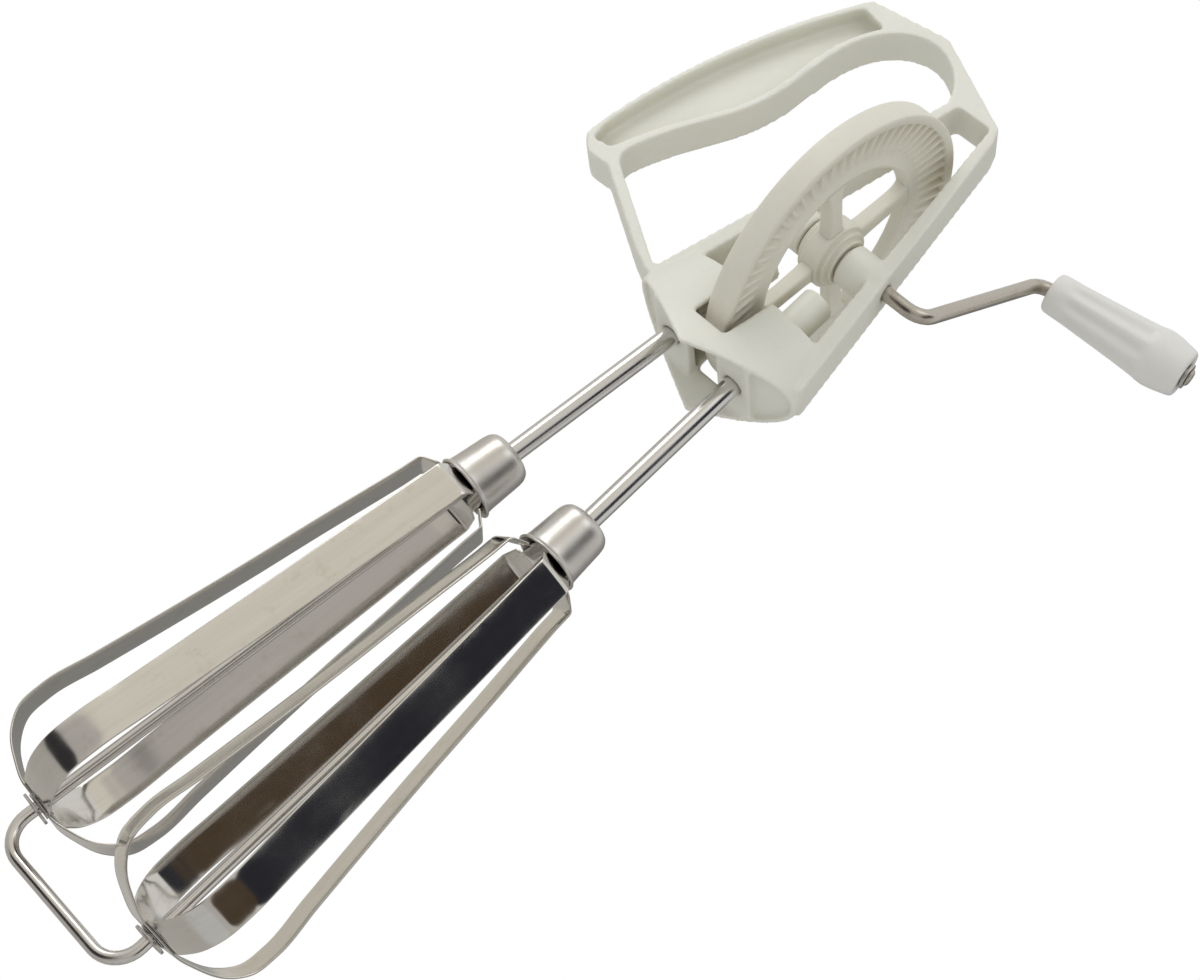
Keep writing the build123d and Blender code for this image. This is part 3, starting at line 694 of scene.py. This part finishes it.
def lobe(tree, direction, target, start, end):
    """0 to 1 as a direction comes nearer to the target, start and end being cosines."""
    aim = Vector(target).normalized()
    near = add(tree, "VectorMath", {0: direction, 1: aim}, operation="DOT_PRODUCT").outputs["Value"]
    ranged = add(tree, "MapRange", {"Value": near, 1: start, 2: end}, interpolation_type="SMOOTHSTEP")
    return ranged.outputs[0]


world = bpy.data.worlds.new("studio")
bpy.context.scene.world = world
world.use_nodes = True
sky = world.node_tree
sky.nodes.clear()
direction = add(sky, "TexCoord").outputs["Generated"]
rays = add(sky, "LightPath").outputs
upward = lobe(sky, direction, (0, 0, 1), -0.8, 0.9)
room = mix(sky, upward, (0.45, 0.43, 0.40, 1), (0.75, 0.74, 0.72, 1))
room_patches = [
    ((-0.15, -0.94, 0.30), 0.80, 0.95, (0.72, 0.68, 0.60, 1)),
    ((-0.15, -0.98, -0.12), 0.945, 0.985, (0.47, 0.445, 0.42, 1)),
    ((0.066, 0.953, 0.296), 0.70, 0.92, (0.25, 0.245, 0.235, 1)),
    ((-0.885, 0.42, 0.10), 0.80, 0.95, (0.58, 0.55, 0.48, 1)),
    ((0.60, -0.1, -0.79), 0.85, 0.95, (0.55, 0.55, 0.54, 1)),
    ((-0.25, -0.74, -0.62), 0.90, 0.925, (0.035, 0.033, 0.035, 1)),
    ((0.81, -0.42, 0.42), 0.945, 0.965, (0.020, 0.021, 0.028, 1)),
    ((0.87, -0.49, -0.02), 0.957, 0.975, (0.070, 0.048, 0.030, 1)),
]
for target, start, end, shade in room_patches:
    room = mix(sky, lobe(sky, direction, target, start, end), room, shade)
sunny_side = lobe(sky, direction, (-0.4, -0.8, 0.45), -0.9, 0.9)
even = mix(sky, sunny_side, (0.50, 0.49, 0.45, 1), (0.80, 0.80, 0.795, 1))
seen = mix(sky, rays["Is Glossy Ray"], even, room)
seen = mix(sky, rays["Is Camera Ray"], seen, (1.0, 1.0, 1.0, 1))
backdrop = add(sky, "Background", {"Color": seen, "Strength": 1.0})
sky.links.new(backdrop.outputs[0], add(sky, "OutputWorld").inputs[0])

middle = Vector((0, 0, 0.2))


def soft_box(name, offset, size, power, colour):
    """A square area light at an offset from the middle of the tool, turned to face it."""
    lamp = bpy.data.lights.new(name, "AREA")
    lamp.size = size
    lamp.energy = power
    lamp.color = colour
    holder = bpy.data.objects.new(name, lamp)
    holder.location = middle + Vector(offset)
    holder.rotation_mode = "QUATERNION"
    holder.rotation_quaternion = (-Vector(offset)).to_track_quat("-Z", "Y")
    bpy.context.scene.collection.objects.link(holder)


soft_box("key_light", (-0.75, -0.75, 0.55), 0.6, 2.3, (1.0, 0.99, 0.97))
soft_box("fill_light", (0.3, -0.9, 0.7), 0.5, 0.6, (1.0, 1.0, 1.0))

camera_place = Vector((0.2383, -0.4703, -0.0022))
look_direction = Vector((-0.4182, 0.8588, 0.2959))
camera_roll = 0.8666
lens = bpy.data.cameras.new("camera")
lens.sensor_width = 36.0
lens.lens = 67.92
lens.clip_start = 0.01
lens.clip_end = 50.0
camera = bpy.data.objects.new("camera", lens)
camera.location = camera_place
camera.rotation_mode = "QUATERNION"
camera.rotation_quaternion = look_direction.to_track_quat("-Z", "Y") @ Quaternion((0, 0, 1), camera_roll)
bpy.context.scene.collection.objects.link(camera)
bpy.context.scene.camera = camera
bpy.context.scene.view_settings.view_transform = "Standard"
